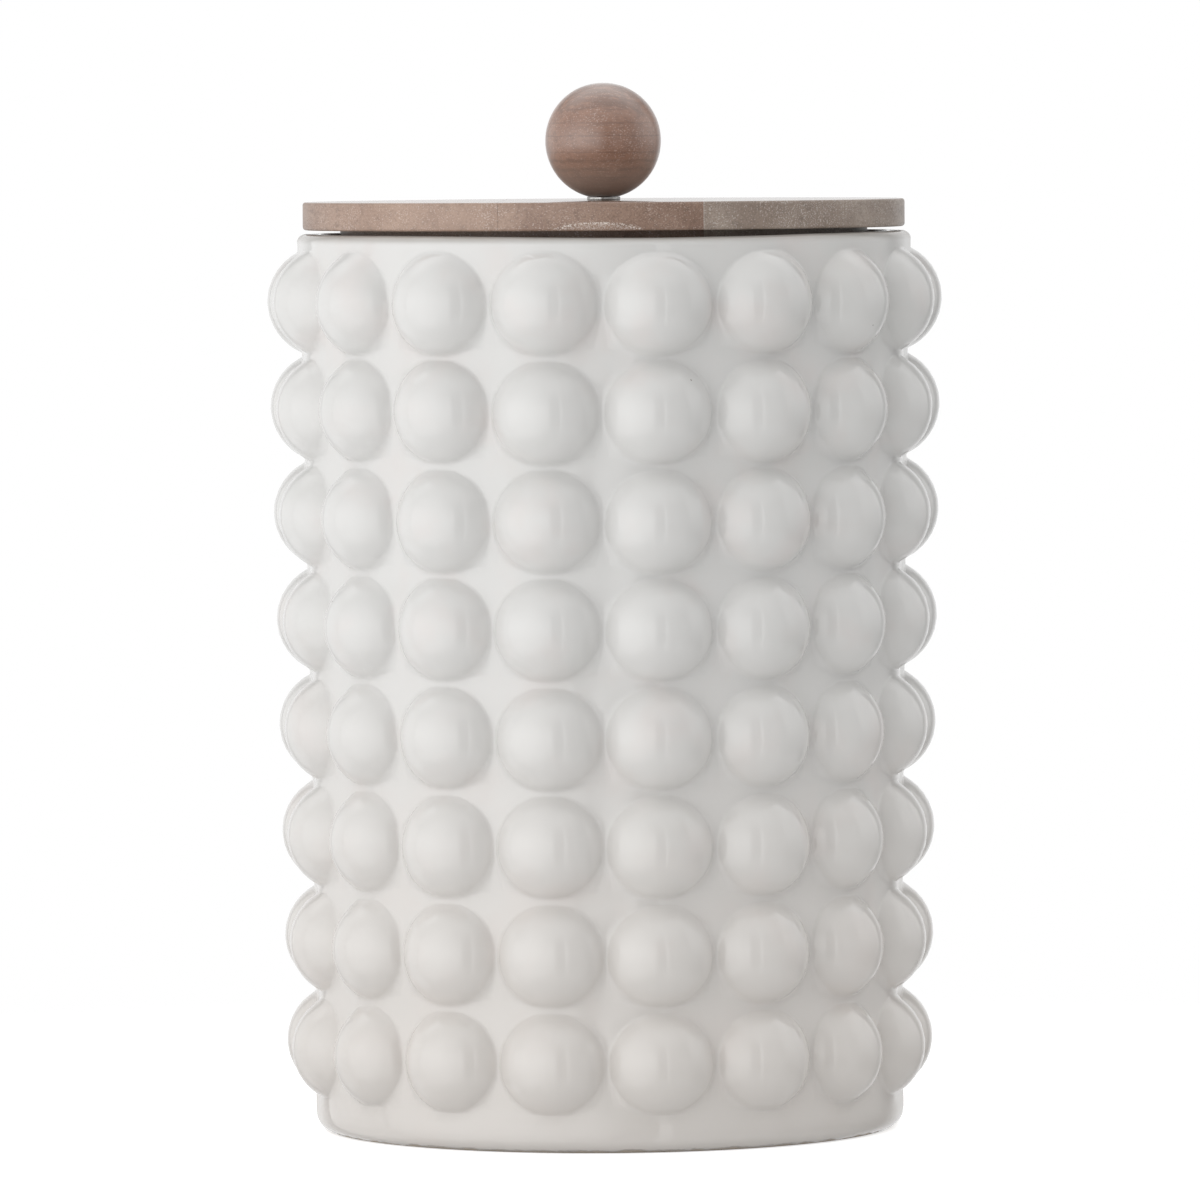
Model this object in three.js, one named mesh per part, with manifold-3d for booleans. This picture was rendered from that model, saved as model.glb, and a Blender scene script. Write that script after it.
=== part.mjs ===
// Storage jar: hobnail stoneware body, lid glued up from wooden staves, ball knob.
// Millimetres, +Z up. The origin is the centre of the foot, and a crease between two domes faces -Y.
import * as THREE from 'three'
import { mergeGeometries, mergeVertices } from 'three/addons/utils/BufferGeometryUtils.js'
import Module from 'manifold-3d'

const wasm = await Module()
wasm.setup()

// Jar body
const jarHeight = 232.5
const footRadius = 76.3
const rimRadius = 79.6
const wallThickness = 7.5
const floorThickness = 8
const rimRounding = 2.8
const footRounding = 3
const footRingWidth = 8
const footRecess = 1.2
const floorRounding = 10

// Domes on the wall
const domeColumns = 17
const domeRows = 8
const footToLowestRow = 23.5
const topRowToRim = 16.5
const domeRiseAtFoot = 8.2
const domeRiseAtRim = 9.0
const domeGap = 0.9

// Lid
const lidInset = 1.6
const lidThickness = 7.2
const lidAboveRim = 1.05
const lidEdgeRounding = 0.8
const staveCount = 3
const plugDepth = 9
const plugToMouth = 3.8
const plugChamfer = 1
const grooveDepth = 2.4
const grooveHeight = 5.2
const grooveBelowLid = 2

// Seal ring
const sealBodyWidth = 2.4
const sealFins = 2
const finRootHeight = 1.4
const finTipHeight = 0.5

// Knob
const ballRadius = 15
const ballFlatRadius = 3.9
const washerRadius = 4
const washerThickness = 0.9
const screwRadius = 2
const screwLength = 30
const screwHeadRadius = 4
const screwHeadHeight = 2.4
const screwHeadInset = 0.4
const screwTipLength = 4
const driveSlotWidth = 1
const driveSlotLength = 4.4
const driveSlotDepth = 1.5

// Fits
const clearance = 0.3
const glueLine = 0.05

// Roundness of the turned shapes, in facets per turn
const facetsPerColumn = 3
const jarFacets = domeColumns * facetsPerColumn
const domeFacets = 10
const domeSteps = 3
const lidFacets = 60
const sealFacets = 44
const ballFacets = 24
const screwFacets = 16

// Heights and radii that several pieces share
const rowPitch = (jarHeight - footToLowestRow - topRowToRim) / (domeRows - 1)
const mouthRadius = rimRadius - wallThickness
const lidRadius = rimRadius - lidInset
const lidBottom = jarHeight + lidAboveRim
const lidTop = lidBottom + lidThickness
const plugBottom = lidBottom - plugDepth
const plugRadius = mouthRadius - plugToMouth
const grooveTop = lidBottom - grooveBelowLid
const grooveBottom = grooveTop - grooveHeight
const grooveRadius = plugRadius - grooveDepth
const ballBottom = lidTop + washerThickness + glueLine
const ballCentre = ballBottom + Math.sqrt(ballRadius ** 2 - ballFlatRadius ** 2)
const screwHeadFace = plugBottom + screwHeadInset
const screwTip = screwHeadFace + screwLength
const boltHoleRadius = screwRadius + clearance

function wallRadius(z) {
  return footRadius + (rimRadius - footRadius) * (z / jarHeight)
}

function arc(centreR, centreZ, radius, fromDegrees, toDegrees, steps) {
  const points = []
  for (let i = 0; i <= steps; i++) {
    const angle = THREE.MathUtils.degToRad(fromDegrees + ((toDegrees - fromDegrees) * i) / steps)
    points.push([centreR + radius * Math.cos(angle), centreZ + radius * Math.sin(angle)])
  }
  return points
}

// A turned solid about +Z from (radius, height) pairs listed upwards along the outside
function turned(profile, facets) {
  const points = profile.map(([r, z]) => new THREE.Vector2(Math.max(r, 0), z))
  return new THREE.LatheGeometry(points, facets).rotateX(Math.PI / 2)
}

function bare(geometry) {
  geometry.deleteAttribute('normal')
  geometry.deleteAttribute('uv')
  return geometry
}

function solid(geometry) {
  const welded = mergeVertices(bare(geometry), 1e-4)
  const mesh = new wasm.Mesh({
    numProp: 3,
    vertProperties: new Float32Array(welded.attributes.position.array),
    triVerts: new Uint32Array(welded.index.array),
  })
  mesh.merge()
  return new wasm.Manifold(mesh)
}

function geometryOf(body) {
  const mesh = body.getMesh()
  const geometry = new THREE.BufferGeometry()
  geometry.setAttribute('position', new THREE.BufferAttribute(mesh.vertProperties, 3))
  geometry.setIndex(new THREE.BufferAttribute(mesh.triVerts, 1))
  geometry.computeVertexNormals()
  return geometry
}

function box(sizeX, sizeY, sizeZ, x, y, z) {
  return solid(new THREE.BoxGeometry(sizeX, sizeY, sizeZ).translate(x, y, z))
}

const jar = new THREE.Group()
jar.name = 'storage_jar'

function addPiece(name, geometry, colour, roughness, metalness) {
  const material = new THREE.MeshStandardMaterial({ color: colour, roughness, metalness })
  const mesh = new THREE.Mesh(geometry, material)
  mesh.name = name
  jar.add(mesh)
}

// Jar body: a skin of domes round the wall, closed by the turned foot below and the turned rim,
// inside and floor above. All three share their edge points, so they weld into one closed solid.
const skinBottom = footToLowestRow - rowPitch / 2
const skinTop = skinBottom + domeRows * rowPitch
const footRingInside = footRadius - footRounding - footRingWidth
const footProfile = [
  [0, footRecess],
  [footRingInside - footRecess, footRecess],
  [footRingInside, 0],
  ...arc(footRadius - footRounding, footRounding, footRounding, -90, 0, 2),
  [wallRadius(skinBottom), skinBottom],
]
const insideAtFloor = wallRadius(floorThickness + floorRounding) - wallThickness
const rimProfile = [
  [wallRadius(skinTop), skinTop],
  ...arc(rimRadius - rimRounding, jarHeight - rimRounding, rimRounding, 0, 90, 2),
  ...arc(mouthRadius + rimRounding, jarHeight - rimRounding, rimRounding, 90, 180, 2),
  ...arc(insideAtFloor - floorRounding, floorThickness + floorRounding, floorRounding, 0, -90, 3),
  [0, floorThickness],
]

// One cell of the skin laid flat: a frame with an oval hole, and the cap of a ball that fills the hole
const cellWidth = (Math.PI * (footRadius + rimRadius)) / domeColumns
const domeHalfWidth = (cellWidth - domeGap) / 2
const domeHalfHeight = (rowPitch - domeGap) / 2

function flatFrame() {
  const outline = new THREE.Shape()
  outline.moveTo(-cellWidth / 2, -rowPitch / 2)
  for (let i = 1; i <= facetsPerColumn; i++) {
    outline.lineTo((i / facetsPerColumn - 0.5) * cellWidth, -rowPitch / 2)
  }
  for (let i = facetsPerColumn; i >= 0; i--) {
    outline.lineTo((i / facetsPerColumn - 0.5) * cellWidth, rowPitch / 2)
  }
  const hole = new THREE.Path()
  hole.absellipse(0, 0, domeHalfWidth, domeHalfHeight, 0, 2 * Math.PI)
  outline.holes.push(hole)
  return new THREE.ShapeGeometry(outline, domeFacets / 2)
}

function ballCap(rise) {
  const radius = (domeHalfHeight ** 2 + rise ** 2) / (2 * rise)
  const edgeAngle = THREE.MathUtils.radToDeg(Math.asin((radius - rise) / radius))
  const profile = arc(0, rise - radius, radius, edgeAngle, 90, domeSteps)
  profile[0] = [domeHalfHeight, 0]
  const points = profile.map(([r, z]) => new THREE.Vector2(Math.max(r, 0), z))
  const cap = new THREE.LatheGeometry(points, domeFacets, Math.PI / 2).rotateX(Math.PI / 2)
  return cap.scale(domeHalfWidth / domeHalfHeight, 1, 1)
}

// Rolls a flat cell round the wall: x becomes the angle, y the height, z the distance off the wall
function rollRound(cell, column, row) {
  const points = cell.attributes.position
  const middle = ((column + 0.5) / domeColumns) * 2 * Math.PI - Math.PI / 2
  for (let i = 0; i < points.count; i++) {
    const angle = middle + ((points.getX(i) / cellWidth) * 2 * Math.PI) / domeColumns
    const height = footToLowestRow + row * rowPitch + points.getY(i)
    const radius = wallRadius(height) + points.getZ(i)
    points.setXYZ(i, radius * Math.cos(angle), radius * Math.sin(angle), height)
  }
  return cell
}

const skin = [turned(footProfile, jarFacets), turned(rimProfile, jarFacets)]
for (let row = 0; row < domeRows; row++) {
  const rise = THREE.MathUtils.lerp(domeRiseAtFoot, domeRiseAtRim, row / (domeRows - 1))
  for (let column = 0; column < domeColumns; column++) {
    skin.push(rollRound(flatFrame(), column, row), rollRound(ballCap(rise), column, row))
  }
}
const jarBody = solid(mergeGeometries(skin.map(bare)))
addPiece('jar_body', geometryOf(jarBody), 0xe0dcd6, 0.18, 0)

// Lid: one turned blank with a plug below it, sawn into staves that run front to back
const lidProfile = [
  [0, plugBottom],
  [plugRadius - plugChamfer, plugBottom],
  [plugRadius, plugBottom + plugChamfer],
  [plugRadius, grooveBottom],
  [grooveRadius, grooveBottom],
  [grooveRadius, grooveTop],
  [plugRadius, grooveTop],
  [plugRadius, lidBottom],
  ...arc(lidRadius - lidEdgeRounding, lidBottom + lidEdgeRounding, lidEdgeRounding, -90, 0, 2),
  ...arc(lidRadius - lidEdgeRounding, lidTop - lidEdgeRounding, lidEdgeRounding, 0, 90, 2),
  [0, lidTop],
]
const boltHoleProfile = [
  [0, plugBottom - clearance],
  [screwHeadRadius + clearance, plugBottom - clearance],
  [screwHeadRadius + clearance, screwHeadFace + clearance],
  [boltHoleRadius, screwHeadFace + screwHeadHeight + clearance],
  [boltHoleRadius, lidTop + clearance],
  [0, lidTop + clearance],
]
const lidBlank = solid(turned(lidProfile, lidFacets)).subtract(solid(turned(boltHoleProfile, screwFacets)))
const staveWidth = (2 * lidRadius) / staveCount
const staveNames = ['lid_stave_left', 'lid_stave_middle', 'lid_stave_right']
const staveColours = [0x9f836f, 0x93755f, 0x7d6a5e]
for (let i = 0; i < staveCount; i++) {
  const x = (i + 0.5) * staveWidth - lidRadius
  const slab = box(staveWidth - glueLine, 2.1 * lidRadius, 4 * plugDepth + lidThickness, x, 0, lidBottom)
  addPiece(staveNames[i], geometryOf(lidBlank.intersect(slab)), staveColours[i], 0.45, 0)
}

// Seal ring: sits in the plug's groove, its fins reach the mouth of the jar
const sealInside = grooveRadius + clearance
const sealOutside = sealInside + sealBodyWidth
const sealBottom = grooveBottom + clearance
const sealTop = grooveTop - clearance
const finTipRadius = wallRadius(sealBottom) - wallThickness - clearance
const finPitch = (sealTop - sealBottom) / sealFins
const sealProfile = [[sealInside, sealBottom], [sealOutside, sealBottom]]
for (let fin = 0; fin < sealFins; fin++) {
  const middle = sealBottom + (fin + 0.5) * finPitch
  sealProfile.push([sealOutside, middle - finRootHeight / 2])
  sealProfile.push([finTipRadius, middle - finTipHeight / 2])
  sealProfile.push([finTipRadius, middle + finTipHeight / 2])
  sealProfile.push([sealOutside, middle + finRootHeight / 2])
}
sealProfile.push([sealOutside, sealTop], [sealInside, sealTop], [sealInside, sealBottom])
addPiece('seal_ring', geometryOf(solid(turned(sealProfile, sealFacets))), 0xe8e6e0, 0.5, 0)

// Knob: a ball on a washer, drawn down by a screw from under the lid
const washerProfile = [
  [boltHoleRadius, lidTop + glueLine],
  [washerRadius, lidTop + glueLine],
  [washerRadius, lidTop + washerThickness],
  [boltHoleRadius, lidTop + washerThickness],
  [boltHoleRadius, lidTop + glueLine],
]
addPiece('knob_washer', geometryOf(solid(turned(washerProfile, ballFacets))), 0xb4b4b0, 0.3, 1)

const ballFlatAngle = THREE.MathUtils.radToDeg(Math.asin((ballBottom - ballCentre) / ballRadius))
const ballProfile = [
  [0, screwTip + clearance],
  [boltHoleRadius, screwTip - screwTipLength],
  [boltHoleRadius, ballBottom],
  ...arc(0, ballCentre, ballRadius, ballFlatAngle, 90, ballFacets / 2),
]
addPiece('knob_ball', geometryOf(solid(turned(ballProfile, ballFacets))), 0x8a6d5c, 0.4, 0)

const screwProfile = [
  [0, screwHeadFace],
  [screwHeadRadius, screwHeadFace],
  [screwRadius, screwHeadFace + screwHeadHeight],
  [screwRadius, screwTip - screwTipLength],
  [0, screwTip],
]
let screw = solid(turned(screwProfile, screwFacets))
screw = screw.subtract(box(driveSlotLength, driveSlotWidth, 2 * driveSlotDepth, 0, 0, screwHeadFace))
screw = screw.subtract(box(driveSlotWidth, driveSlotLength, 2 * driveSlotDepth, 0, 0, screwHeadFace))
addPiece('knob_screw', geometryOf(screw), 0xa8a8a6, 0.35, 1)

export default jar
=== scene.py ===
import math

import bmesh
import bpy
import numpy as np
from mathutils import Matrix


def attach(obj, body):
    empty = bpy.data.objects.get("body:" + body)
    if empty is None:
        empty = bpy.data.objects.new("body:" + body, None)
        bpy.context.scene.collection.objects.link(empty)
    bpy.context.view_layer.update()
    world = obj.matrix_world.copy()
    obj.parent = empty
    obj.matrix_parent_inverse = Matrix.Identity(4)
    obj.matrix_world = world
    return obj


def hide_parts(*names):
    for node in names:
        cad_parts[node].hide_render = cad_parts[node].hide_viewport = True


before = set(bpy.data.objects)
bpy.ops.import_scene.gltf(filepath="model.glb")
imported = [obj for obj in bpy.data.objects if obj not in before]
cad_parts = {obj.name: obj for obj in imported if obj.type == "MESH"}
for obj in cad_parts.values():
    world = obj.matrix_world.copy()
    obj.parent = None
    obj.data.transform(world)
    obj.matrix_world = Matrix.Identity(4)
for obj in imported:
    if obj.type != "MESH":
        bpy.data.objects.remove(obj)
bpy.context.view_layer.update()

# Jar body: slip-cast stoneware under a glossy off-white glaze, with eight rows of round domes that
# run into the wall. Its rim has sagged a little in front, and it stands on a wiped, bare foot ring.
mm = 0.001
jar_height = 232.5 * mm
foot_radius = 76.3 * mm
rim_radius = 79.6 * mm
wall_thickness = 7.5 * mm
floor_thickness = 8 * mm
rim_rounding = 2.3 * mm
rim_sag = 0.75 * mm
rim_sag_angle = math.radians(-80)
rim_sag_spread = 0.15
foot_rounding = 4.5 * mm
foot_ring_width = 6.5 * mm
foot_recess = 1.2 * mm
floor_rounding = 10 * mm
mouth_radius = rim_radius - wall_thickness

dome_columns = 17
dome_rows = 8
foot_to_lowest_row = 23.5 * mm
top_row_to_rim = 16.5 * mm
row_pitch = (jar_height - foot_to_lowest_row - top_row_to_rim) / (dome_rows - 1)
column_angle = 2 * math.pi / dome_columns
dome_rise_at_foot = 8.2 * mm
dome_rise_at_rim = 9.0 * mm
dome_radius = 14.6 * mm
dome_half_width = 14.8 * mm
dome_half_height = 14.4 * mm
crease_fillet = 0.6 * mm
wall_dip = 0.9 * mm
rows_lowered = 0.9 * mm
dome_shift_up = 0.15 * mm
dome_shift_aside = 0.1 * mm
dome_sunk = 0.2 * mm
dome_sunk_spread = 0.08 * mm
unevenness = 0.08 * mm
even_margin = 10 * mm
skin_ripple = 0.05 * mm
waist = 0.35 * mm
points_per_side = 9
halvings = 18

warm_up_to = 150 * mm
wipe_raggedness = 1.6 * mm
bare_below = 0.55 * mm
glazed_above = 0.75 * mm
rust_from = 0.4 * mm
rust_full_from = 0.7 * mm
rust_to = 1.1 * mm
# Where painted shade from the lid darkens the outer edge of the rim.
rim_shade_width = 4.4 * mm
rim_shade_full_width = 2.4 * mm
rim_shade_depth = 2.7 * mm
rim_shade_full_depth = 0.4 * mm


def wall_radius(z):
    return foot_radius + (rim_radius - foot_radius) * z / jar_height


def arc(centre_r, centre_z, radius, from_degrees, to_degrees, steps):
    """(radius, height) points on a round edge."""
    angles = np.radians(np.linspace(from_degrees, to_degrees, steps + 1))
    return [(centre_r + radius * math.cos(a), centre_z + radius * math.sin(a)) for a in angles]


def mesh_from_rings(name, rings, closed_loop=False):
    """A mesh through rings of points. A ring of one point closes an end."""
    points = np.vstack(rings)
    starts = np.cumsum([0] + [len(ring) for ring in rings])
    count = max(len(ring) for ring in rings)
    faces = []
    pairs = list(zip(range(len(rings) - 1), range(1, len(rings))))
    if closed_loop:
        pairs.append((len(rings) - 1, 0))
    for low, high in pairs:
        for i in range(count):
            j = (i + 1) % count
            if len(rings[low]) == 1:
                faces.append((starts[low], starts[high] + j, starts[high] + i))
            elif len(rings[high]) == 1:
                faces.append((starts[low] + i, starts[low] + j, starts[high]))
            else:
                faces.append((starts[low] + i, starts[low] + j, starts[high] + j, starts[high] + i))
    mesh = bpy.data.meshes.new(name)
    mesh.from_pydata(points.tolist(), [], [tuple(int(v) for v in face) for face in faces])
    mesh.update()
    return mesh


def show(name, mesh, material, sharp_degrees, body, slot, *nodes):
    """Puts a mesh in the scene as a piece that rides on a body and stands for CAD nodes."""
    piece = bpy.data.objects.new(name, mesh)
    bpy.context.scene.collection.objects.link(piece)
    mesh.materials.append(material)
    mesh.shade_smooth()
    mesh.set_sharp_from_angle(angle=math.radians(sharp_degrees))
    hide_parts(*nodes)
    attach(piece, body)


def new_material(name):
    """A material and its shader."""
    material = bpy.data.materials.new(name)
    material.use_nodes = True
    return material, material.node_tree.nodes["Principled BSDF"]


def add(material, kind, settings=None, **inputs):
    """One shader node. An input is a number, a colour or another node's output, named in lower case."""
    made = material.node_tree.nodes.new("ShaderNode" + kind)
    for name, value in (settings or {}).items():
        setattr(made, name, value)
    for name, value in inputs.items():
        wanted = name.replace("_", " ")
        socket = next(s for s in made.inputs if s.enabled and s.name.lower() == wanted)
        join(material, value, socket)
    return made


def join(material, value, socket):
    """Links an output to a socket, or sets the socket to a plain value."""
    if isinstance(value, bpy.types.NodeSocket):
        material.node_tree.links.new(value, socket)
    else:
        socket.default_value = value


def maths(material, operation, first, second=0.0):
    """The result of one sum in the shader."""
    made = material.node_tree.nodes.new("ShaderNodeMath")
    made.operation = operation
    join(material, first, made.inputs[0])
    join(material, second, made.inputs[1])
    return made.outputs[0]


def times(material, first, second):
    return maths(material, "MULTIPLY", first, second)


def fade(material, value, low, high):
    """0 below low and 1 above high, smooth in between. Low may be the larger."""
    smooth = {"interpolation_type": "SMOOTHSTEP"}
    made = add(material, "MapRange", smooth, value=value, from_min=low, from_max=high)
    return made.outputs["Result"]


def mixed(material, factor, first, second):
    """A colour between two colours."""
    made = material.node_tree.nodes.new("ShaderNodeMix")
    made.data_type = "RGBA"
    join(material, factor, made.inputs[0])
    join(material, first, made.inputs[6])
    join(material, second, made.inputs[7])
    return made.outputs[2]


def mixed_number(material, factor, first, second):
    """A number between two numbers."""
    made = material.node_tree.nodes.new("ShaderNodeMix")
    join(material, factor, made.inputs[0])
    join(material, first, made.inputs[2])
    join(material, second, made.inputs[3])
    return made.outputs[0]


def place_on_piece(material, stretch=(1, 1, 1)):
    """The place on the piece, in metres, multiplied along each axis."""
    where = add(material, "TexCoord")
    made = add(material, "VectorMath", {"operation": "MULTIPLY"})
    join(material, where.outputs["Object"], made.inputs[0])
    made.inputs[1].default_value = stretch
    return made.outputs[0]


def from_the_axis(material):
    """How far out from the upright axis the place is."""
    made = add(material, "VectorMath", {"operation": "LENGTH"})
    join(material, place_on_piece(material, (1, 1, 0)), made.inputs[0])
    return made.outputs["Value"]


def noise(material, place, scale, detail=2.0, roughness=0.5):
    made = add(material, "TexNoise", vector=place, scale=scale, detail=detail, roughness=roughness)
    return made.outputs["Fac"]


def colour(red, green, blue):
    return (red, green, blue, 1)


def pooled_glaze(material):
    """1 in the middle of each gap between four domes outside, where the glaze has pooled and dulled."""
    axes = add(material, "SeparateXYZ", vector=place_on_piece(material)).outputs
    turn = maths(material, "ARCTAN2", axes["Y"], axes["X"])
    columns_round = times(material, maths(material, "ADD", turn, math.pi / 2), math.pi / column_angle)
    above_lowest = maths(material, "SUBTRACT", axes["Z"], foot_to_lowest_row)
    rows_high = times(material, above_lowest, math.pi / row_pitch)
    wave = times(material, maths(material, "SINE", rows_high), maths(material, "COSINE", columns_round))
    in_gap = fade(material, maths(material, "ABSOLUTE", wave), 0.4, 1.0)
    middle_of_wall = (mouth_radius + foot_radius) / 2
    outside = maths(material, "GREATER_THAN", from_the_axis(material), middle_of_wall)
    return times(material, in_gap, outside)


def glaze_finish():
    """White glaze with faint clouds and pinholes, warmer towards the foot, and painted shade on the rim.
    """
    material, shader = new_material("white_glaze")
    shader.inputs["IOR"].default_value = 1.6
    place = place_on_piece(material)
    height = add(material, "SeparateXYZ", vector=place).outputs["Z"]

    white = colour(0.70, 0.694, 0.68)
    rosy = colour(0.70, 0.655, 0.635)
    greyish = colour(0.65, 0.65, 0.63)
    warm = colour(0.70, 0.655, 0.614)
    clay = colour(0.56, 0.49, 0.41)
    rim_shade_colour = colour(0.36, 0.33, 0.30)
    rust = colour(0.14, 0.10, 0.075)

    rosy_clouds = fade(material, noise(material, place, 55, 3), 0.48, 0.72)
    grey_clouds = fade(material, noise(material, place, 38, 2), 0.52, 0.75)
    tone = mixed(material, times(material, rosy_clouds, 0.5), white, rosy)
    tone = mixed(material, times(material, grey_clouds, 0.45), tone, greyish)
    lower_half = fade(material, height, warm_up_to, 0)
    tone = mixed(material, times(material, lower_half, 0.7), tone, warm)

    pins = add(material, "TexVoronoi", vector=place, scale=130)
    chance = add(material, "SeparateColor", color=pins.outputs["Color"]).outputs["Red"]
    few = maths(material, "GREATER_THAN", chance, 0.88)
    pin = times(material, fade(material, pins.outputs["Distance"], 0.045, 0.02), few)
    tone = mixed(material, times(material, pin, 0.75), tone, rust)

    ragged = maths(material, "SUBTRACT", noise(material, place, 260, 4), 0.5)
    above_wipe = maths(material, "ADD", height, times(material, ragged, wipe_raggedness))
    bare = fade(material, above_wipe, glazed_above, bare_below)
    edge_from = fade(material, above_wipe, rust_from, rust_full_from)
    edge_to = fade(material, above_wipe, rust_to, glazed_above)
    rusty_edge = times(material, edge_from, edge_to)
    tone = mixed(material, bare, tone, clay)
    tone = mixed(material, times(material, rusty_edge, 0.4), tone, rust)

    # Painted shade under the lid: the rim's outer edge is darkened towards grey-brown, in patches.
    out = from_the_axis(material)
    outer_edge = fade(material, out, rim_radius - rim_shade_width, rim_radius - rim_shade_full_width)
    near_rim = fade(material, height, jar_height - rim_shade_depth, jar_height - rim_shade_full_depth)
    patches = mixed_number(material, noise(material, place, 90, 3), 0.55, 1.0)
    painted_rim_shade = times(material, times(material, outer_edge, near_rim), patches)
    tone = mixed(material, painted_rim_shade, tone, rim_shade_colour)
    join(material, tone, shader.inputs["Base Color"])

    polish = add(material, "MapRange", value=noise(material, place, 70), to_min=0.012, to_max=0.032)
    pooled = times(material, pooled_glaze(material), 0.22)
    dull = maths(material, "ADD", times(material, bare, 0.7), pooled)
    join(material, maths(material, "ADD", polish.outputs["Result"], dull), shader.inputs["Roughness"])

    swell = noise(material, place, 150, 2)
    ripple = add(material, "Bump", strength=0.045, distance=0.3 * mm, height=swell)
    join(material, ripple.outputs["Normal"], shader.inputs["Normal"])
    return material


def ring_of(radius, z, angles):
    """One ring of points about the upright axis, or a single point on it."""
    if np.isscalar(radius) and radius == 0:
        return np.array([[0, 0, z]])
    flat = np.full_like(angles, z)
    return np.column_stack([radius * np.cos(angles), radius * np.sin(angles), flat])


def domes_by_hand():
    """Height, angle and depth of each dome's centre, each a little off its place as if set by hand."""
    hand = np.random.default_rng(11)
    rows = np.arange(dome_rows)[:, None]
    columns = np.arange(dome_columns)[None, :]
    up, aside, sunk = hand.normal(0, 1, (3, dome_rows, dome_columns))
    height = foot_to_lowest_row + rows * row_pitch - rows_lowered + dome_shift_up * up
    angle = (columns + 0.5) * column_angle - math.pi / 2 + dome_shift_aside * aside / rim_radius
    rise = dome_rise_at_foot + (dome_rise_at_rim - dome_rise_at_foot) * rows / (dome_rows - 1)
    depth = wall_radius(height) + rise - dome_radius - dome_sunk - dome_sunk_spread * np.abs(sunk)
    return height, angle, depth


def filleted(off, fillet):
    """Distances off several surfaces made into one, with a round fillet where the surfaces meet."""
    off = np.array(off)
    hollow = np.sqrt((np.clip(fillet - off, 0, None) ** 2).sum(axis=0))
    return np.maximum(fillet, off.min(axis=0)) - hollow


def between_domes(angle, height):
    """1 in the middle of the gap between four domes, and 0 level with a dome or straight above one."""
    rows_high = np.clip((height - foot_to_lowest_row) / row_pitch, 0, dome_rows - 1)
    columns_round = (angle + math.pi / 2) / column_angle
    return (np.sin(math.pi * rows_high) * np.cos(math.pi * columns_round)) ** 2


def distance_off(radius, angle, height, row, column):
    """How far points stand off the wall and the domes near them, with a fillet where they meet."""
    from_foot = np.clip((height - foot_rounding) / even_margin, 0, 1)
    from_rim = np.clip((skin_top - height) / even_margin, 0, 1)
    uneven = np.sin(31 * angle + 190 * height) * np.sin(17 * angle - 330 * height)
    proud = unevenness * uneven * np.sin(from_foot * from_rim * math.pi / 2)
    surfaces = [radius - wall_radius(height) - proud + wall_dip * between_domes(angle, height)]
    for rows_up in (-1, 0, 1):
        near_row = row + rows_up
        there = (near_row >= 0) & (near_row < dome_rows)
        near_row = np.clip(near_row, 0, dome_rows - 1)
        for columns_on in (-1, 0, 1):
            near_column = (column + columns_on) % dome_columns
            turn = angle - dome_angle[near_row, near_column]
            out = radius * np.cos(turn) - dome_depth[near_row, near_column]
            aside = radius * np.sin(turn) / dome_half_width
            up = (height - dome_height[near_row, near_column]) / dome_half_height
            ball = np.hypot(out, dome_radius * np.hypot(aside, up)) - dome_radius
            surfaces.append(np.where(there, ball, 1.0))
    return filleted(surfaces, crease_fillet)


def skin_radius(angle, height, row, column):
    """Radius of the outside at these angles and heights, found by halving the gap around it."""
    low = wall_radius(height) - wall_dip - unevenness
    high = wall_radius(height) + dome_rise_at_rim + crease_fillet
    for _ in range(halvings):
        middle = (low + high) / 2
        outside = distance_off(middle, angle, height, row, column) > 0
        high = np.where(outside, middle, high)
        low = np.where(outside, low, middle)
    share = height / jar_height
    drawn_in = waist * 4 * share * (1 - share)
    ripple = np.sin(2 * angle + 31 * height + 0.4) * np.sin(3 * angle - 44 * height + 1.9)
    return high - drawn_in - skin_ripple * (1 + ripple)


def cell_pattern():
    """Places in the square of wall about one dome: rings about its middle, closest at its edge."""
    half_height = row_pitch / 2
    half_width = wall_radius(jar_height / 2) * column_angle / 2
    along = np.arange(points_per_side) * 2 / points_per_side - 1
    one = np.ones(points_per_side)
    across_ends = np.concatenate([one, -along, -one, along]) * half_width
    up_ends = np.concatenate([along, one, -along, -one]) * half_height
    reach = np.hypot(across_ends, up_ends)
    dome_edge = math.sqrt(dome_rise_at_foot * (2 * dome_radius - dome_rise_at_foot))
    oval = reach / dome_radius / np.hypot(across_ends / dome_half_width, up_ends / dome_half_height)
    crown = np.array([0.21, 0.42, 0.6, 0.75, 0.86]) * dome_edge
    edge = dome_edge + np.linspace(-0.8, 1.2, 7) * crease_fillet
    steps = np.concatenate([crown, edge])[:, None] * oval
    share = steps / reach * np.minimum(1, 0.95 * reach / steps[-1])
    outer = [share[-1] + (1 - share[-1]) * part for part in (1 / 3, 2 / 3, 1)]
    share = np.vstack([share, outer])
    return across_ends * share / wall_radius(jar_height / 2), up_ends * share


def domed_skin():
    """Points and faces of the wall's outside: a patch of rings for each dome, meeting at their edges."""
    across, up = cell_pattern()
    rings, spokes = across.shape
    points = []
    faces = []
    for row in range(dome_rows):
        for column in range(dome_columns):
            angle = (column + 0.5) * column_angle - math.pi / 2 + np.append(0, across)
            height = foot_to_lowest_row + row * row_pitch + np.append(0, up)
            radius = skin_radius(angle, height, np.full(angle.shape, row), np.full(angle.shape, column))
            start = len(points)
            points += np.column_stack([radius * np.cos(angle), radius * np.sin(angle), height]).tolist()
            for i in range(spokes):
                j = (i + 1) % spokes
                faces.append((start, start + 1 + i, start + 1 + j))
                for ring in range(rings - 1):
                    inner = start + 1 + ring * spokes
                    faces.append((inner + i, inner + spokes + i, inner + spokes + j, inner + j))
    return points, faces


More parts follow.
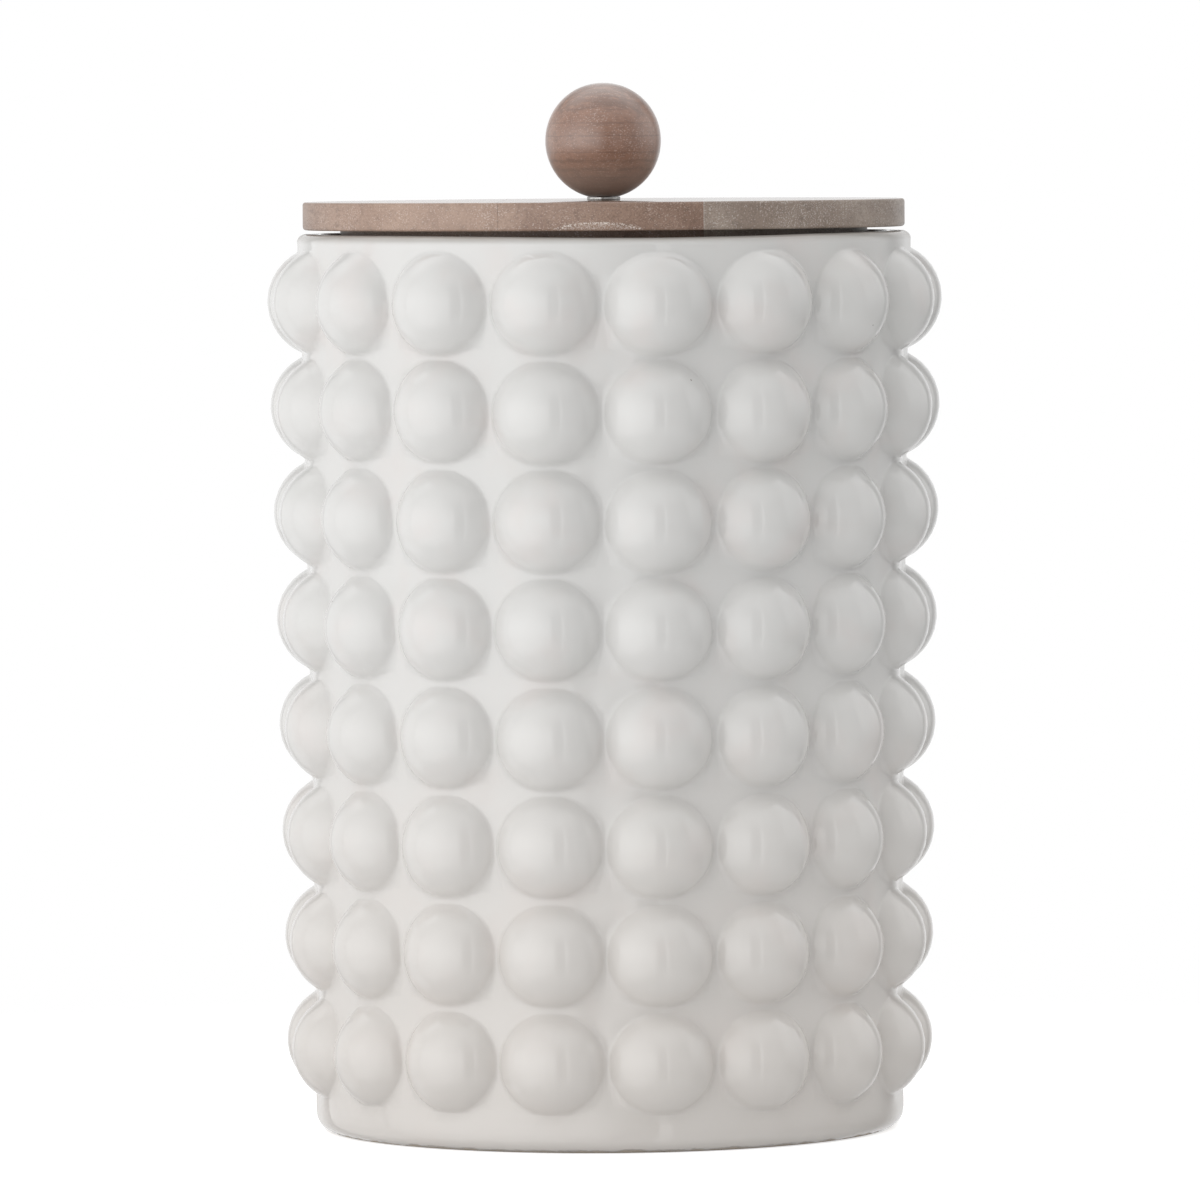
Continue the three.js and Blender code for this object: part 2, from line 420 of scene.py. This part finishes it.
def edge_ring(row, z):
    """The ring of points at the bottom of the lowest row of domes or the top of the highest."""
    angles = ring_angles % (2 * math.pi)
    column = np.floor((angles + math.pi / 2) / column_angle + 1e-6).astype(int) % dome_columns
    radius = skin_radius(ring_angles, np.full_like(angles, z), np.full(angles.shape, row), column)
    return ring_of(radius, z, ring_angles)


def foot_rings():
    """Rings from the middle of the base, under the foot and up to the lowest row of domes."""
    foot_edge = foot_radius - foot_rounding
    ring_inside = foot_edge - foot_ring_width
    base_rings = (0, 20 * mm, 40 * mm, 55 * mm)
    band_heights = (5 * mm, 7 * mm)
    profile = [(r, foot_recess) for r in base_rings]
    profile += [(ring_inside - foot_recess, foot_recess), (ring_inside, 0)]
    profile += [(ring_inside + foot_ring_width / 2, 0)]
    profile += arc(foot_edge, foot_rounding, foot_rounding, -90, 0, 6)
    profile += [(wall_radius(z), z) for z in band_heights]
    rings = [ring_of(float(r), z, ring_angles) for r, z in profile]
    return rings + [edge_ring(0, skin_bottom)]


def rim_rings():
    """Rings from the top of the domes, over the sagged rim and down the inside to the floor."""
    rounding_bottom = jar_height - rim_rounding
    floor_edge = floor_thickness + floor_rounding
    inside_at_floor = wall_radius(floor_edge) - wall_thickness
    profile = arc(rim_radius - rim_rounding, rounding_bottom, rim_rounding, 0, 90, 8)[1:]
    profile += arc(mouth_radius + rim_rounding, rounding_bottom, rim_rounding, 90, 180, 8)
    profile += [
        (wall_radius(z) - wall_thickness, z)
        for z in np.linspace(rounding_bottom, floor_edge, 24)[1:-1]
    ]
    profile += arc(inside_at_floor - floor_rounding, floor_edge, floor_rounding, 0, -90, 8)
    profile += [(r, floor_thickness) for r in (45 * mm, 30 * mm, 15 * mm, 0)]
    sag = rim_sag * np.exp((np.cos(ring_angles - rim_sag_angle) - 1) / rim_sag_spread)
    rings = [ring_of(float(r), z - sag if z > rounding_bottom else z, ring_angles) for r, z in profile]
    return [edge_ring(dome_rows - 1, skin_top)] + rings


def jar_whole():
    """The jar's mesh: base, domed skin and inside, sewn together where they meet."""
    points, faces = domed_skin()
    skin = bpy.data.meshes.new("skin")
    skin.from_pydata(points, [], faces)
    foot = mesh_from_rings("foot", foot_rings())
    rim = mesh_from_rings("rim", rim_rings())
    work = bmesh.new()
    for part in (skin, foot, rim):
        work.from_mesh(part)
        bpy.data.meshes.remove(part)
    bmesh.ops.remove_doubles(work, verts=work.verts[:], dist=0.01 * mm)
    bmesh.ops.recalc_face_normals(work, faces=work.faces[:])
    mesh = bpy.data.meshes.new("jar_body_glazed")
    work.to_mesh(mesh)
    work.free()
    return mesh


skin_bottom = foot_to_lowest_row - row_pitch / 2
skin_top = jar_height - top_row_to_rim + row_pitch / 2
ring_angles = np.arange(dome_columns * points_per_side) * column_angle / points_per_side - math.pi / 2
dome_height, dome_angle, dome_depth = domes_by_hand()
glaze = glaze_finish()
show("jar_body_glazed", jar_whole(), glaze, 50, "jar", "glaze", "jar_body")

# Lid: a disc glued up from three boards that run front to back, turned with a plug below it and a
# groove for the seal, then varnished to a satin finish. The right board is greyer than the others.
lid_inset = 1.6 * mm
lid_thickness = 7.2 * mm
lid_above_rim = 1.05 * mm
lid_edge_rounding = 0.8 * mm
plug_depth = 9 * mm
plug_to_mouth = 3.8 * mm
plug_chamfer = 1 * mm
groove_depth = 2.4 * mm
groove_height = 5.2 * mm
groove_below_lid = 2 * mm
glue_line = 0.05 * mm
clearance = 0.3 * mm
screw_head_radius = 4 * mm
screw_head_height = 2.4 * mm
screw_head_inset = 0.4 * mm
bolt_hole_radius = 2.3 * mm
# Where a painted highlight lies on the lid's lower front edge.
edge_highlight_half_width = 11.3 * mm
edge_highlight_height = 2.2 * mm
edge_highlight_left_of_middle = 0.6 * mm
lid_facets = 240

lid_radius = rim_radius - lid_inset
lid_bottom = jar_height + lid_above_rim
lid_top = lid_bottom + lid_thickness
plug_bottom = lid_bottom - plug_depth
plug_radius = mouth_radius - plug_to_mouth
groove_top = lid_bottom - groove_below_lid
groove_bottom = groove_top - groove_height
groove_radius = plug_radius - groove_depth
screw_head_face = plug_bottom + screw_head_inset
stave_width = 2 * lid_radius / 3


def turned(name, profile, facets, closed_loop=False):
    """A turned mesh about the upright axis from (radius, height) points."""
    angles = np.arange(facets) * 2 * math.pi / facets
    rings = [ring_of(float(r), float(z), angles) for r, z in profile]
    return mesh_from_rings(name, rings, closed_loop)


def lid_blank():
    """The whole lid before it is parted into boards, as a loop of points round its section."""
    half_way_out = 40 * mm
    profile = [
        (screw_head_radius + clearance, plug_bottom),
        (half_way_out, plug_bottom),
        (plug_radius - plug_chamfer, plug_bottom),
        (plug_radius, plug_bottom + plug_chamfer),
        (plug_radius, groove_bottom),
        (groove_radius, groove_bottom),
        (groove_radius, groove_top),
        (plug_radius, groove_top),
        (plug_radius, lid_bottom),
    ]
    edge = lid_radius - lid_edge_rounding
    profile += arc(edge, lid_bottom + lid_edge_rounding, lid_edge_rounding, -90, 0, 5)
    profile += arc(edge, lid_top - lid_edge_rounding, lid_edge_rounding, 0, 90, 5)
    profile += [
        (half_way_out, lid_top),
        (bolt_hole_radius, lid_top),
        (bolt_hole_radius, screw_head_face + screw_head_height + clearance),
        (screw_head_radius + clearance, screw_head_face + clearance),
    ]
    return turned("lid_blank", profile, lid_facets, closed_loop=True)


def sawn(blank, name, low, high):
    """The part of the blank between two upright saw cuts."""
    work = bmesh.new()
    work.from_mesh(blank)
    for place, direction in ((low, -1), (high, 1)):
        if abs(place) > lid_radius:
            continue
        cut = bmesh.ops.bisect_plane(
            work,
            geom=work.verts[:] + work.edges[:] + work.faces[:],
            plane_co=(place, 0, 0),
            plane_no=(direction, 0, 0),
            clear_outer=True,
        )
        cut_edges = [e for e in cut["geom_cut"] if isinstance(e, bmesh.types.BMEdge)]
        bmesh.ops.triangle_fill(work, edges=cut_edges, use_beauty=True)
    bmesh.ops.recalc_face_normals(work, faces=work.faces[:])
    mesh = bpy.data.meshes.new(name)
    work.to_mesh(mesh)
    work.free()
    return mesh


def wood_finish(
    name, light, dark, along, offset, varnish, with_edge_highlight=False, dark_lines_and_shade=(), painted_shade_to_right=0, painted_light_band=None
):
    """Varnished open-pored wood: soft bands and dark streaks along the grain, pale flecks, and any
    painted light and shade asked for.
    """
    material, shader = new_material(name)
    stretch = tuple(0.06 if axis == along else 1.0 for axis in "XYZ")
    shifted = add(material, "VectorMath", {"operation": "ADD"})
    join(material, place_on_piece(material, stretch), shifted.inputs[0])
    shifted.inputs[1].default_value = offset
    grain = shifted.outputs[0]

    bands = fade(material, noise(material, grain, 70, 4, 0.6), 0.36, 0.66)
    streaks = fade(material, noise(material, grain, 420, 3, 0.6), 0.52, 0.72)
    fibres = noise(material, grain, 1900, 3, 0.65)
    tone = mixed(material, bands, light, dark)
    darkest = tuple(0.55 * v for v in dark[:3]) + (1,)
    tone = mixed(material, times(material, streaks, 0.45), tone, darkest)
    dark_fibres = fade(material, fibres, 0.45, 0.65)
    tone = mixed(material, times(material, dark_fibres, 0.4), tone, darkest)

    fine = place_on_piece(material, (0.7, 0.7, 1))
    clusters = fade(material, noise(material, fine, 110, 2), 0.35, 0.7)
    threshold = mixed_number(material, clusters, 0.64, 0.55)
    speckle = noise(material, fine, 3200, 1, 0.5)
    fleck = fade(material, maths(material, "SUBTRACT", speckle, threshold), 0, 0.07)
    pale = tuple(0.9 * v + 0.28 for v in light[:3]) + (1,)
    tone = mixed(material, times(material, fleck, 0.55), tone, pale)
    # Dark grain lines, and where an entry is broad, painted shade.
    for height, half_thickness, strength in dark_lines_and_shade:
        line = dark_line(material, height, half_thickness)
        tone = mixed(material, times(material, line, strength), tone, darkest)

    # Painted light: the tone is mixed towards a paler colour in a band along one axis.
    if painted_light_band:
        axis, centre, half_width, strength, other = painted_light_band
        along_axis = add(material, "SeparateXYZ", vector=place_on_piece(material)).outputs[axis]
        off_band = maths(material, "ABSOLUTE", maths(material, "SUBTRACT", along_axis, centre))
        band = times(material, fade(material, off_band, half_width, 0), strength)
        tone = mixed(material, band, tone, other)
    # Painted shade: the tone darkens and greys towards the right of the board.
    if painted_shade_to_right:
        from_middle = add(material, "SeparateXYZ", vector=place_on_piece(material)).outputs["X"]
        share = fade(material, from_middle, -stave_width / 2, stave_width / 10)
        darker = tuple(1 - painted_shade_to_right * v for v in (0.9, 1.05, 1.15))
        shade = add(material, "VectorMath", {"operation": "MULTIPLY"})
        join(material, tone, shade.inputs[0])
        join(material, mixed(material, share, colour(1, 1, 1), colour(*darker)), shade.inputs[1])
        tone = shade.outputs[0]

    wear_and_edge_highlight = 0.0
    # Painted highlight: pale specks along an arch on the lower front edge, which also roughen the bump.
    if with_edge_highlight:
        wear_and_edge_highlight = painted_edge_highlight(material)
        tone = mixed(material, times(material, wear_and_edge_highlight, 0.75), tone, colour(0.80, 0.74, 0.68))
    join(material, tone, shader.inputs["Base Color"])

    facing = add(material, "SeparateXYZ", vector=add(material, "NewGeometry").outputs["True Normal"])
    level_face = fade(material, facing.outputs["Z"], 0.9, 0.99)
    sheen = add(material, "MapRange", value=fibres, to_min=0.34, to_max=0.5)
    filled = mixed_number(material, level_face, sheen.outputs["Result"], 0.12)
    join(material, filled, shader.inputs["Roughness"])
    shader.inputs["Coat Weight"].default_value = varnish
    shader.inputs["Coat Roughness"].default_value = 0.2
    depth = maths(material, "SUBTRACT", fibres, times(material, fleck, 0.5))
    depth = maths(material, "ADD", depth, times(material, wear_and_edge_highlight, fleck))
    open_pores = mixed_number(material, level_face, 0.5, 0.03)
    pores = add(material, "Bump", strength=open_pores, distance=0.15 * mm, height=depth)
    join(material, pores.outputs["Normal"], shader.inputs["Normal"])
    return material


def dark_line(material, height, half_thickness):
    """A level band of dark tone, waving a little and broken along its length: a grain line, and painted
    shade where broad.
    """
    place = place_on_piece(material, (0.3, 1, 1))
    sway = maths(material, "SUBTRACT", noise(material, place, 260, 2), 0.5)
    wave = times(material, sway, 2.5 * half_thickness)
    level = maths(material, "ADD", add(material, "SeparateXYZ", vector=place).outputs["Z"], wave)
    off = maths(material, "ABSOLUTE", maths(material, "SUBTRACT", level, height))
    broken = fade(material, noise(material, place, 900, 3), 0.3, 0.55)
    return times(material, fade(material, off, half_thickness, 0.3 * half_thickness), broken)


def painted_edge_highlight(material):
    """A painted highlight of pale specks on the lower front edge, along a low arch on the front."""
    place = place_on_piece(material)
    axes = add(material, "SeparateXYZ", vector=place).outputs
    from_highlight_middle = maths(material, "ADD", axes["X"], edge_highlight_left_of_middle)
    aside = maths(material, "DIVIDE", from_highlight_middle, edge_highlight_half_width)
    above = maths(material, "DIVIDE", maths(material, "SUBTRACT", axes["Z"], lid_bottom), edge_highlight_height)
    out = maths(material, "ADD", maths(material, "POWER", aside, 2), maths(material, "POWER", above, 2))
    off_arch = maths(material, "ABSOLUTE", maths(material, "SUBTRACT", out, 0.8))
    arch = fade(material, off_arch, 0.3, 0.08)
    inside = times(material, fade(material, out, 1.1, 0.8), 0.4)
    glint_specks = fade(material, noise(material, place, 2800, 3), 0.46, 0.58)
    front = maths(material, "LESS_THAN", axes["Y"], 0)
    face = times(material, front, maths(material, "GREATER_THAN", above, 0.12))
    where = times(material, maths(material, "MAXIMUM", arch, inside), face)
    return times(material, where, glint_specks)


blank = lid_blank()
left_colours = (colour(0.38, 0.259, 0.197), colour(0.289, 0.186, 0.139))
right_colours = (colour(0.375, 0.304, 0.253), colour(0.28, 0.215, 0.173))
left_offset = (0.3, 0, 0.7)
right_offset = (2.4, 0, 1.3)
board_varnish = 0.15
# Painted highlight: a paler band across the left of the lid, centred 44 mm left of the middle.
painted_highlight_band = ("X", -44 * mm, 32 * mm, 0.2, colour(0.62, 0.46, 0.37))
left_wood = wood_finish("wood_left", *left_colours, "Y", left_offset, board_varnish, painted_light_band=painted_highlight_band)
# The middle board carries painted shade towards its right and a painted highlight on its lower front
# edge.
middle_wood = wood_finish(
    "wood_middle",
    *left_colours,
    "Y",
    left_offset,
    board_varnish,
    with_edge_highlight=True,
    painted_shade_to_right=0.22,
    painted_light_band=painted_highlight_band,
)
right_wood = wood_finish("wood_right", *right_colours, "Y", right_offset, board_varnish)
staves = [("left", left_wood), ("middle", middle_wood), ("right", right_wood)]
for i, (side, wood) in enumerate(staves):
    low = i * stave_width - lid_radius + glue_line / 2
    high = (i + 1) * stave_width - lid_radius - glue_line / 2
    if side == "left":
        low = -2 * lid_radius
    if side == "right":
        high = 2 * lid_radius
    stave_mesh = sawn(blank, "lid_board_" + side, low, high)
    show("lid_board_" + side, stave_mesh, wood, 35, "lid", "wood_" + side, "lid_stave_" + side)
bpy.data.meshes.remove(blank)

# Seal: a pale silicone ring stretched into the plug's groove. Its two thin fins bend against the
# mouth of the jar and hold the lid.
seal_body_width = 2.4 * mm
seal_fins = 2
fin_root_height = 1.4 * mm
fin_tip_height = 0.5 * mm
seal_corner = 0.3 * mm
seal_facets = 180
seal_inside = groove_radius + clearance
seal_outside = seal_inside + seal_body_width
seal_bottom = groove_bottom + clearance
seal_top = groove_top - clearance
fin_tip_radius = wall_radius(seal_bottom) - wall_thickness - clearance
fin_pitch = (seal_top - seal_bottom) / seal_fins


def seal_profile():
    """A loop of points round the seal's section, with softly rounded fin tips."""
    tip = fin_tip_height / 2
    profile = arc(seal_inside + seal_corner, seal_bottom + seal_corner, seal_corner, 180, 270, 3)
    for fin in range(seal_fins):
        middle = seal_bottom + (fin + 0.5) * fin_pitch
        profile.append((seal_outside, middle - fin_root_height / 2))
        profile += arc(fin_tip_radius - tip, middle, tip, -90, 90, 6)
        profile.append((seal_outside, middle + fin_root_height / 2))
    profile += arc(seal_inside + seal_corner, seal_top - seal_corner, seal_corner, 90, 180, 3)
    return profile


def silicone_finish():
    """Milky silicone, dull with handling and a little dust."""
    material, shader = new_material("silicone_seal")
    place = place_on_piece(material)
    clouds = noise(material, place, 120, 4)
    milky = colour(0.80, 0.79, 0.765)
    handled = colour(0.70, 0.69, 0.66)
    tone = mixed(material, fade(material, clouds, 0.35, 0.7), milky, handled)
    join(material, tone, shader.inputs["Base Color"])
    dust = add(material, "MapRange", value=noise(material, place, 900, 3), to_min=0.38, to_max=0.6)
    join(material, dust.outputs["Result"], shader.inputs["Roughness"])
    shader.inputs["Subsurface Weight"].default_value = 0.3
    shader.inputs["Subsurface Radius"].default_value = (2 * mm, 1.6 * mm, 1.3 * mm)
    shader.inputs["Subsurface Scale"].default_value = 1.0
    return material


seal_mesh = turned("seal_with_fins", seal_profile(), seal_facets, closed_loop=True)
show("seal_with_fins", seal_mesh, silicone_finish(), 50, "seal", "silicone", "seal_ring")

# Knob washer: a small steel washer between the ball and the lid, which lifts the ball clear of the
# varnish. Its edges are broken by tumbling, and the screw has pressed it a little wider and uneven.
washer_radius = 4 * mm
washer_thickness = 0.9 * mm
washer_edge = 0.2 * mm
washer_facets = 64
pressed_wider = 1.04


def steel_finish(name, scratch_scale):
    """Plain steel with fine scratches and a dull film."""
    material, shader = new_material(name)
    place = place_on_piece(material, (1, 1, 6))
    film = noise(material, place, 700, 3)
    clean = colour(0.62, 0.61, 0.59)
    dull = colour(0.46, 0.45, 0.43)
    tone = mixed(material, fade(material, film, 0.35, 0.7), clean, dull)
    join(material, tone, shader.inputs["Base Color"])
    shader.inputs["Metallic"].default_value = 1.0
    scratches = noise(material, place, scratch_scale, 4, 0.6)
    polish = add(material, "MapRange", value=scratches, to_min=0.2, to_max=0.42)
    join(material, polish.outputs["Result"], shader.inputs["Roughness"])
    wear_and_edge_highlight = add(material, "Bump", strength=0.3, distance=0.05 * mm, height=scratches)
    join(material, wear_and_edge_highlight.outputs["Normal"], shader.inputs["Normal"])
    return material


washer_bottom = lid_top + glue_line
washer_top = lid_top + washer_thickness
washer_edge_r = washer_radius - washer_edge
washer_profile = [(bolt_hole_radius, washer_bottom)]
washer_profile += arc(washer_edge_r, washer_bottom + washer_edge, washer_edge, -90, 0, 4)
washer_profile += arc(washer_edge_r, washer_top - washer_edge, washer_edge, 0, 90, 4)
washer_profile.append((bolt_hole_radius, washer_top))
washer_mesh = turned("knob_washer_steel", washer_profile, washer_facets, closed_loop=True)
for corner in washer_mesh.vertices:
    turn = math.atan2(corner.co.y, corner.co.x)
    dent = 0.03 * math.sin(7 * turn + 0.6) + 0.025 * math.sin(17 * turn)
    if corner.co.xy.length > 0.8 * washer_radius:
        corner.co.xy *= pressed_wider + dent
washer_steel = steel_finish("washer_steel", 2600)
show("knob_washer_steel", washer_mesh, washer_steel, 40, "lid", "steel", "knob_washer")

# Knob ball: a turned ball of the lid's wood, with its grain lying level from left to right. The
# screw from under the lid draws its small flat down on the washer.
ball_radius = 14.99 * mm
ball_flat_radius = 3.9 * mm
screw_length = 30 * mm
screw_tip_length = 4 * mm
ball_facets = 96
ball_bottom = washer_top + glue_line
ball_centre = ball_bottom + math.sqrt(ball_radius ** 2 - ball_flat_radius ** 2)
screw_tip = screw_head_face + screw_length
ball_flat_degrees = math.degrees(math.asin((ball_bottom - ball_centre) / ball_radius))

ball_profile = [
    (0, screw_tip + clearance),
    (bolt_hole_radius, screw_tip - screw_tip_length),
    (bolt_hole_radius, ball_bottom),
]
ball_profile += arc(0, ball_centre, ball_radius, ball_flat_degrees, 89, 60)
ball_profile.append((0, ball_centre + ball_radius))
# The first entry is a broad band of painted shade over the ball's top; the others are dark grain lines.
ball_grain_lines_and_top_shade = [
    (ball_centre + height * mm, half_thickness * mm, strength)
    for height, half_thickness, strength in (
        (12.5, 7, 0.65),
        (8, 0.25, 0.4),
        (4.5, 0.25, 0.5),
        (1.2, 0.25, 0.6),
        (-3, 0.25, 0.5),
        (-5.2, 0.6, 0.6),
        (-7.4, 0.6, 0.6),
        (-9.5, 0.3, 0.4),
    )
]
# Painted light: a paler, greyer band round the underside of the ball.
ball_wood = wood_finish(
    "wood_ball",
    colour(0.375, 0.192, 0.120),
    colour(0.277, 0.131, 0.078),
    "X",
    (0, 4.2, 2.6),
    1.0,
    dark_lines_and_shade=ball_grain_lines_and_top_shade,
    painted_light_band=("Z", ball_bottom, 13 * mm, 0.7, colour(0.46, 0.40, 0.36)),
)
ball_shader = ball_wood.node_tree.nodes["Principled BSDF"]
ball_shader.inputs["Specular IOR Level"].default_value = 1.0
ball_shader.inputs["Coat Roughness"].default_value = 0.28
ball_shader.inputs["Coat IOR"].default_value = 1.65
ball_mesh = turned("knob_ball_turned", ball_profile, ball_facets)
show("knob_ball_turned", ball_mesh, ball_wood, 50, "lid", "wood_ball", "knob_ball")

# Knob screw: a countersunk steel screw, driven up through the lid into the ball. Only its head
# shows, from below.
screw_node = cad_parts["knob_screw"]
screw_node.data.materials.clear()
screw_node.data.materials.append(steel_finish("screw_steel", 1800))

# Floor and backdrop: a pale sheet of paper under the jar that fades out into a white backdrop, and
# a dim room on the camera's side.
floor_reach = 0.41
floor_fade_from = 0.14
floor_facets = 96
paper_white = 0.87
paper_glow = 0.62
room_light = 0.27
ceiling_light = 0.72
room_in_gloss = 0.12
ceiling_in_gloss = 0.7
backdrop_in_gloss = 0.8
table_in_gloss = 0.45


def ray_kinds(owner):
    """1 for what is seen directly, and 1 for what is seen in a shiny or through a clear surface."""
    rays = add(owner, "LightPath").outputs
    mirrored = maths(owner, "MAXIMUM", rays["Is Glossy Ray"], rays["Is Transmission Ray"])
    return rays["Is Camera Ray"], mirrored


def paper_finish():
    """Matt white paper that keeps the jar's shadow and is clear at its far edge."""
    material, shader = new_material("white_paper")
    shader.inputs["Roughness"].default_value = 0.9
    direct, mirrored = ray_kinds(material)
    seen = maths(material, "MAXIMUM", direct, mirrored)
    shader.inputs["Base Color"].default_value = colour(paper_white, paper_white, paper_white)
    shader.inputs["Specular IOR Level"].default_value = 0.0
    shader.inputs["Emission Color"].default_value = colour(1, 1, 1)
    join(material, times(material, seen, paper_glow), shader.inputs["Emission Strength"])
    far = fade(material, from_the_axis(material), floor_fade_from, floor_reach)
    clear = add(material, "BsdfTransparent")
    both = add(material, "MixShader")
    join(material, times(material, far, direct), both.inputs[0])
    join(material, shader.outputs[0], both.inputs[1])
    join(material, clear.outputs[0], both.inputs[2])
    join(material, both.outputs[0], material.node_tree.nodes["Material Output"].inputs["Surface"])
    return material


floor_angles = np.arange(floor_facets) * 2 * math.pi / floor_facets
floor_rings = [ring_of(0, 0, floor_angles), ring_of(floor_reach, 0, floor_angles)]
floor_mesh = mesh_from_rings("floor", floor_rings)
floor_mesh.materials.append(paper_finish())
floor = bpy.data.objects.new("floor", floor_mesh)
bpy.context.scene.collection.objects.link(floor)
floor.visible_glossy = False

world = bpy.data.worlds.new("white_studio")
world.use_nodes = True
bpy.context.scene.world = world
direct, mirrored = ray_kinds(world)
direction = add(world, "SeparateXYZ", vector=add(world, "TexCoord").outputs["Generated"])
backdrop_side = fade(world, direction.outputs["Y"], 0.7, 0.95)
backdrop_gloss = times(world, backdrop_side, backdrop_in_gloss)
gloss_level = maths(world, "ADD", room_in_gloss - room_light, backdrop_gloss)
level = maths(world, "ADD", room_light, times(world, mirrored, gloss_level))
overhead = fade(world, direction.outputs["Z"], 0.45, 0.85)
below = fade(world, direction.outputs["Z"], -0.25, -0.6)
behind = fade(world, direction.outputs["Y"], -0.1, 0.4)
level = maths(world, "ADD", level, times(world, overhead, ceiling_light))
ceiling_gloss = times(world, times(world, overhead, ceiling_in_gloss), behind)
table_gloss = times(world, below, table_in_gloss)
above_and_below = maths(world, "ADD", ceiling_gloss, table_gloss)
level = maths(world, "ADD", level, times(world, mirrored, above_and_below))
level = maths(world, "MAXIMUM", level, direct)
backdrop = world.node_tree.nodes["Background"]
backdrop.inputs["Color"].default_value = colour(1, 1, 1)
join(world, level, backdrop.inputs["Strength"])

# Lamps: a broad bright panel from the camera round to the left, and a weaker one behind it. On the
# right, past a dark gap beside the camera, stand a narrow strip, a dim panel and one farther back.
# Each is tall and soft, and fades towards its top and bottom.
panel_distance = 1.5
panel_bottom = -1.7
panel_top = 2.0


def panel(name, from_azimuth, to_azimuth, brightness, side_level=1.0, bottom=panel_bottom):
    """An upright soft panel facing the jar. Its sides are degrees round from the front, to the right."""
    width = 2 * panel_distance * math.tan(math.radians(to_azimuth - from_azimuth) / 2)
    height = panel_top - bottom
    lamp = bpy.data.lights.new(name, "AREA")
    lamp.shape = "RECTANGLE"
    lamp.size = width
    lamp.size_y = height
    lamp.energy = brightness * math.pi * width * height
    lamp.use_nodes = True
    sheet = add(lamp, "SeparateXYZ", vector=add(lamp, "NewGeometry").outputs["Parametric"])
    above = maths(lamp, "ABSOLUTE", maths(lamp, "SUBTRACT", sheet.outputs["Y"], 0.5))
    aside = maths(lamp, "ABSOLUTE", maths(lamp, "SUBTRACT", sheet.outputs["X"], 0.5))
    hot_middle = times(lamp, fade(lamp, aside, 0.5, 0.0), 1 - side_level)
    across = maths(lamp, "ADD", hot_middle, side_level)
    glow = times(lamp, fade(lamp, above, 0.55, 0.0), across)
    join(lamp, glow, lamp.node_tree.nodes["Emission"].inputs["Strength"])
    holder = bpy.data.objects.new(name, lamp)
    turn = math.radians((from_azimuth + to_azimuth) / 2)
    middle_z = (bottom + panel_top) / 2
    holder.location = (panel_distance * math.sin(turn), -panel_distance * math.cos(turn), middle_z)
    holder.rotation_euler = (math.pi / 2, 0, turn)
    holder.visible_camera = False
    bpy.context.scene.collection.objects.link(holder)


panel("soft_back_left", -140, -96, 0.82)
panel("soft_left", -95, 0, 1.62, 0.7)
panel("soft_strip", 19, 25, 1.0)
panel("soft_right", 25.5, 70, 0.32)
panel("soft_far_right", 72, 130, 0.85, bottom=-0.5)

# Camera: a long lens about 2.7 metres in front of the jar, level with the knob. It is tilted slightly
# down and leans a little.
camera_distance = 2.672
camera_height = 258.8 * mm
camera_aside = -1.66 * mm
camera_azimuth = 0.6
camera_pitch = 2.61
camera_lean = -0.415
focal_pixels = 10300
picture_pixels = 1200

lens = bpy.data.cameras.new("camera")
lens.sensor_width = 36
lens.lens = focal_pixels * lens.sensor_width / picture_pixels
lens.clip_end = 50
camera = bpy.data.objects.new("camera", lens)
bpy.context.scene.collection.objects.link(camera)
stand = Matrix.Translation((camera_aside, -camera_distance, camera_height))
round_jar = Matrix.Rotation(math.radians(camera_azimuth), 4, "Z")
look = Matrix.Rotation(math.radians(90 - camera_pitch), 4, "X")
lean = Matrix.Rotation(math.radians(camera_lean), 4, "Z")
camera.matrix_world = round_jar @ stand @ look @ lean
bpy.context.scene.camera = camera
bpy.context.scene.view_settings.view_transform = "Standard"
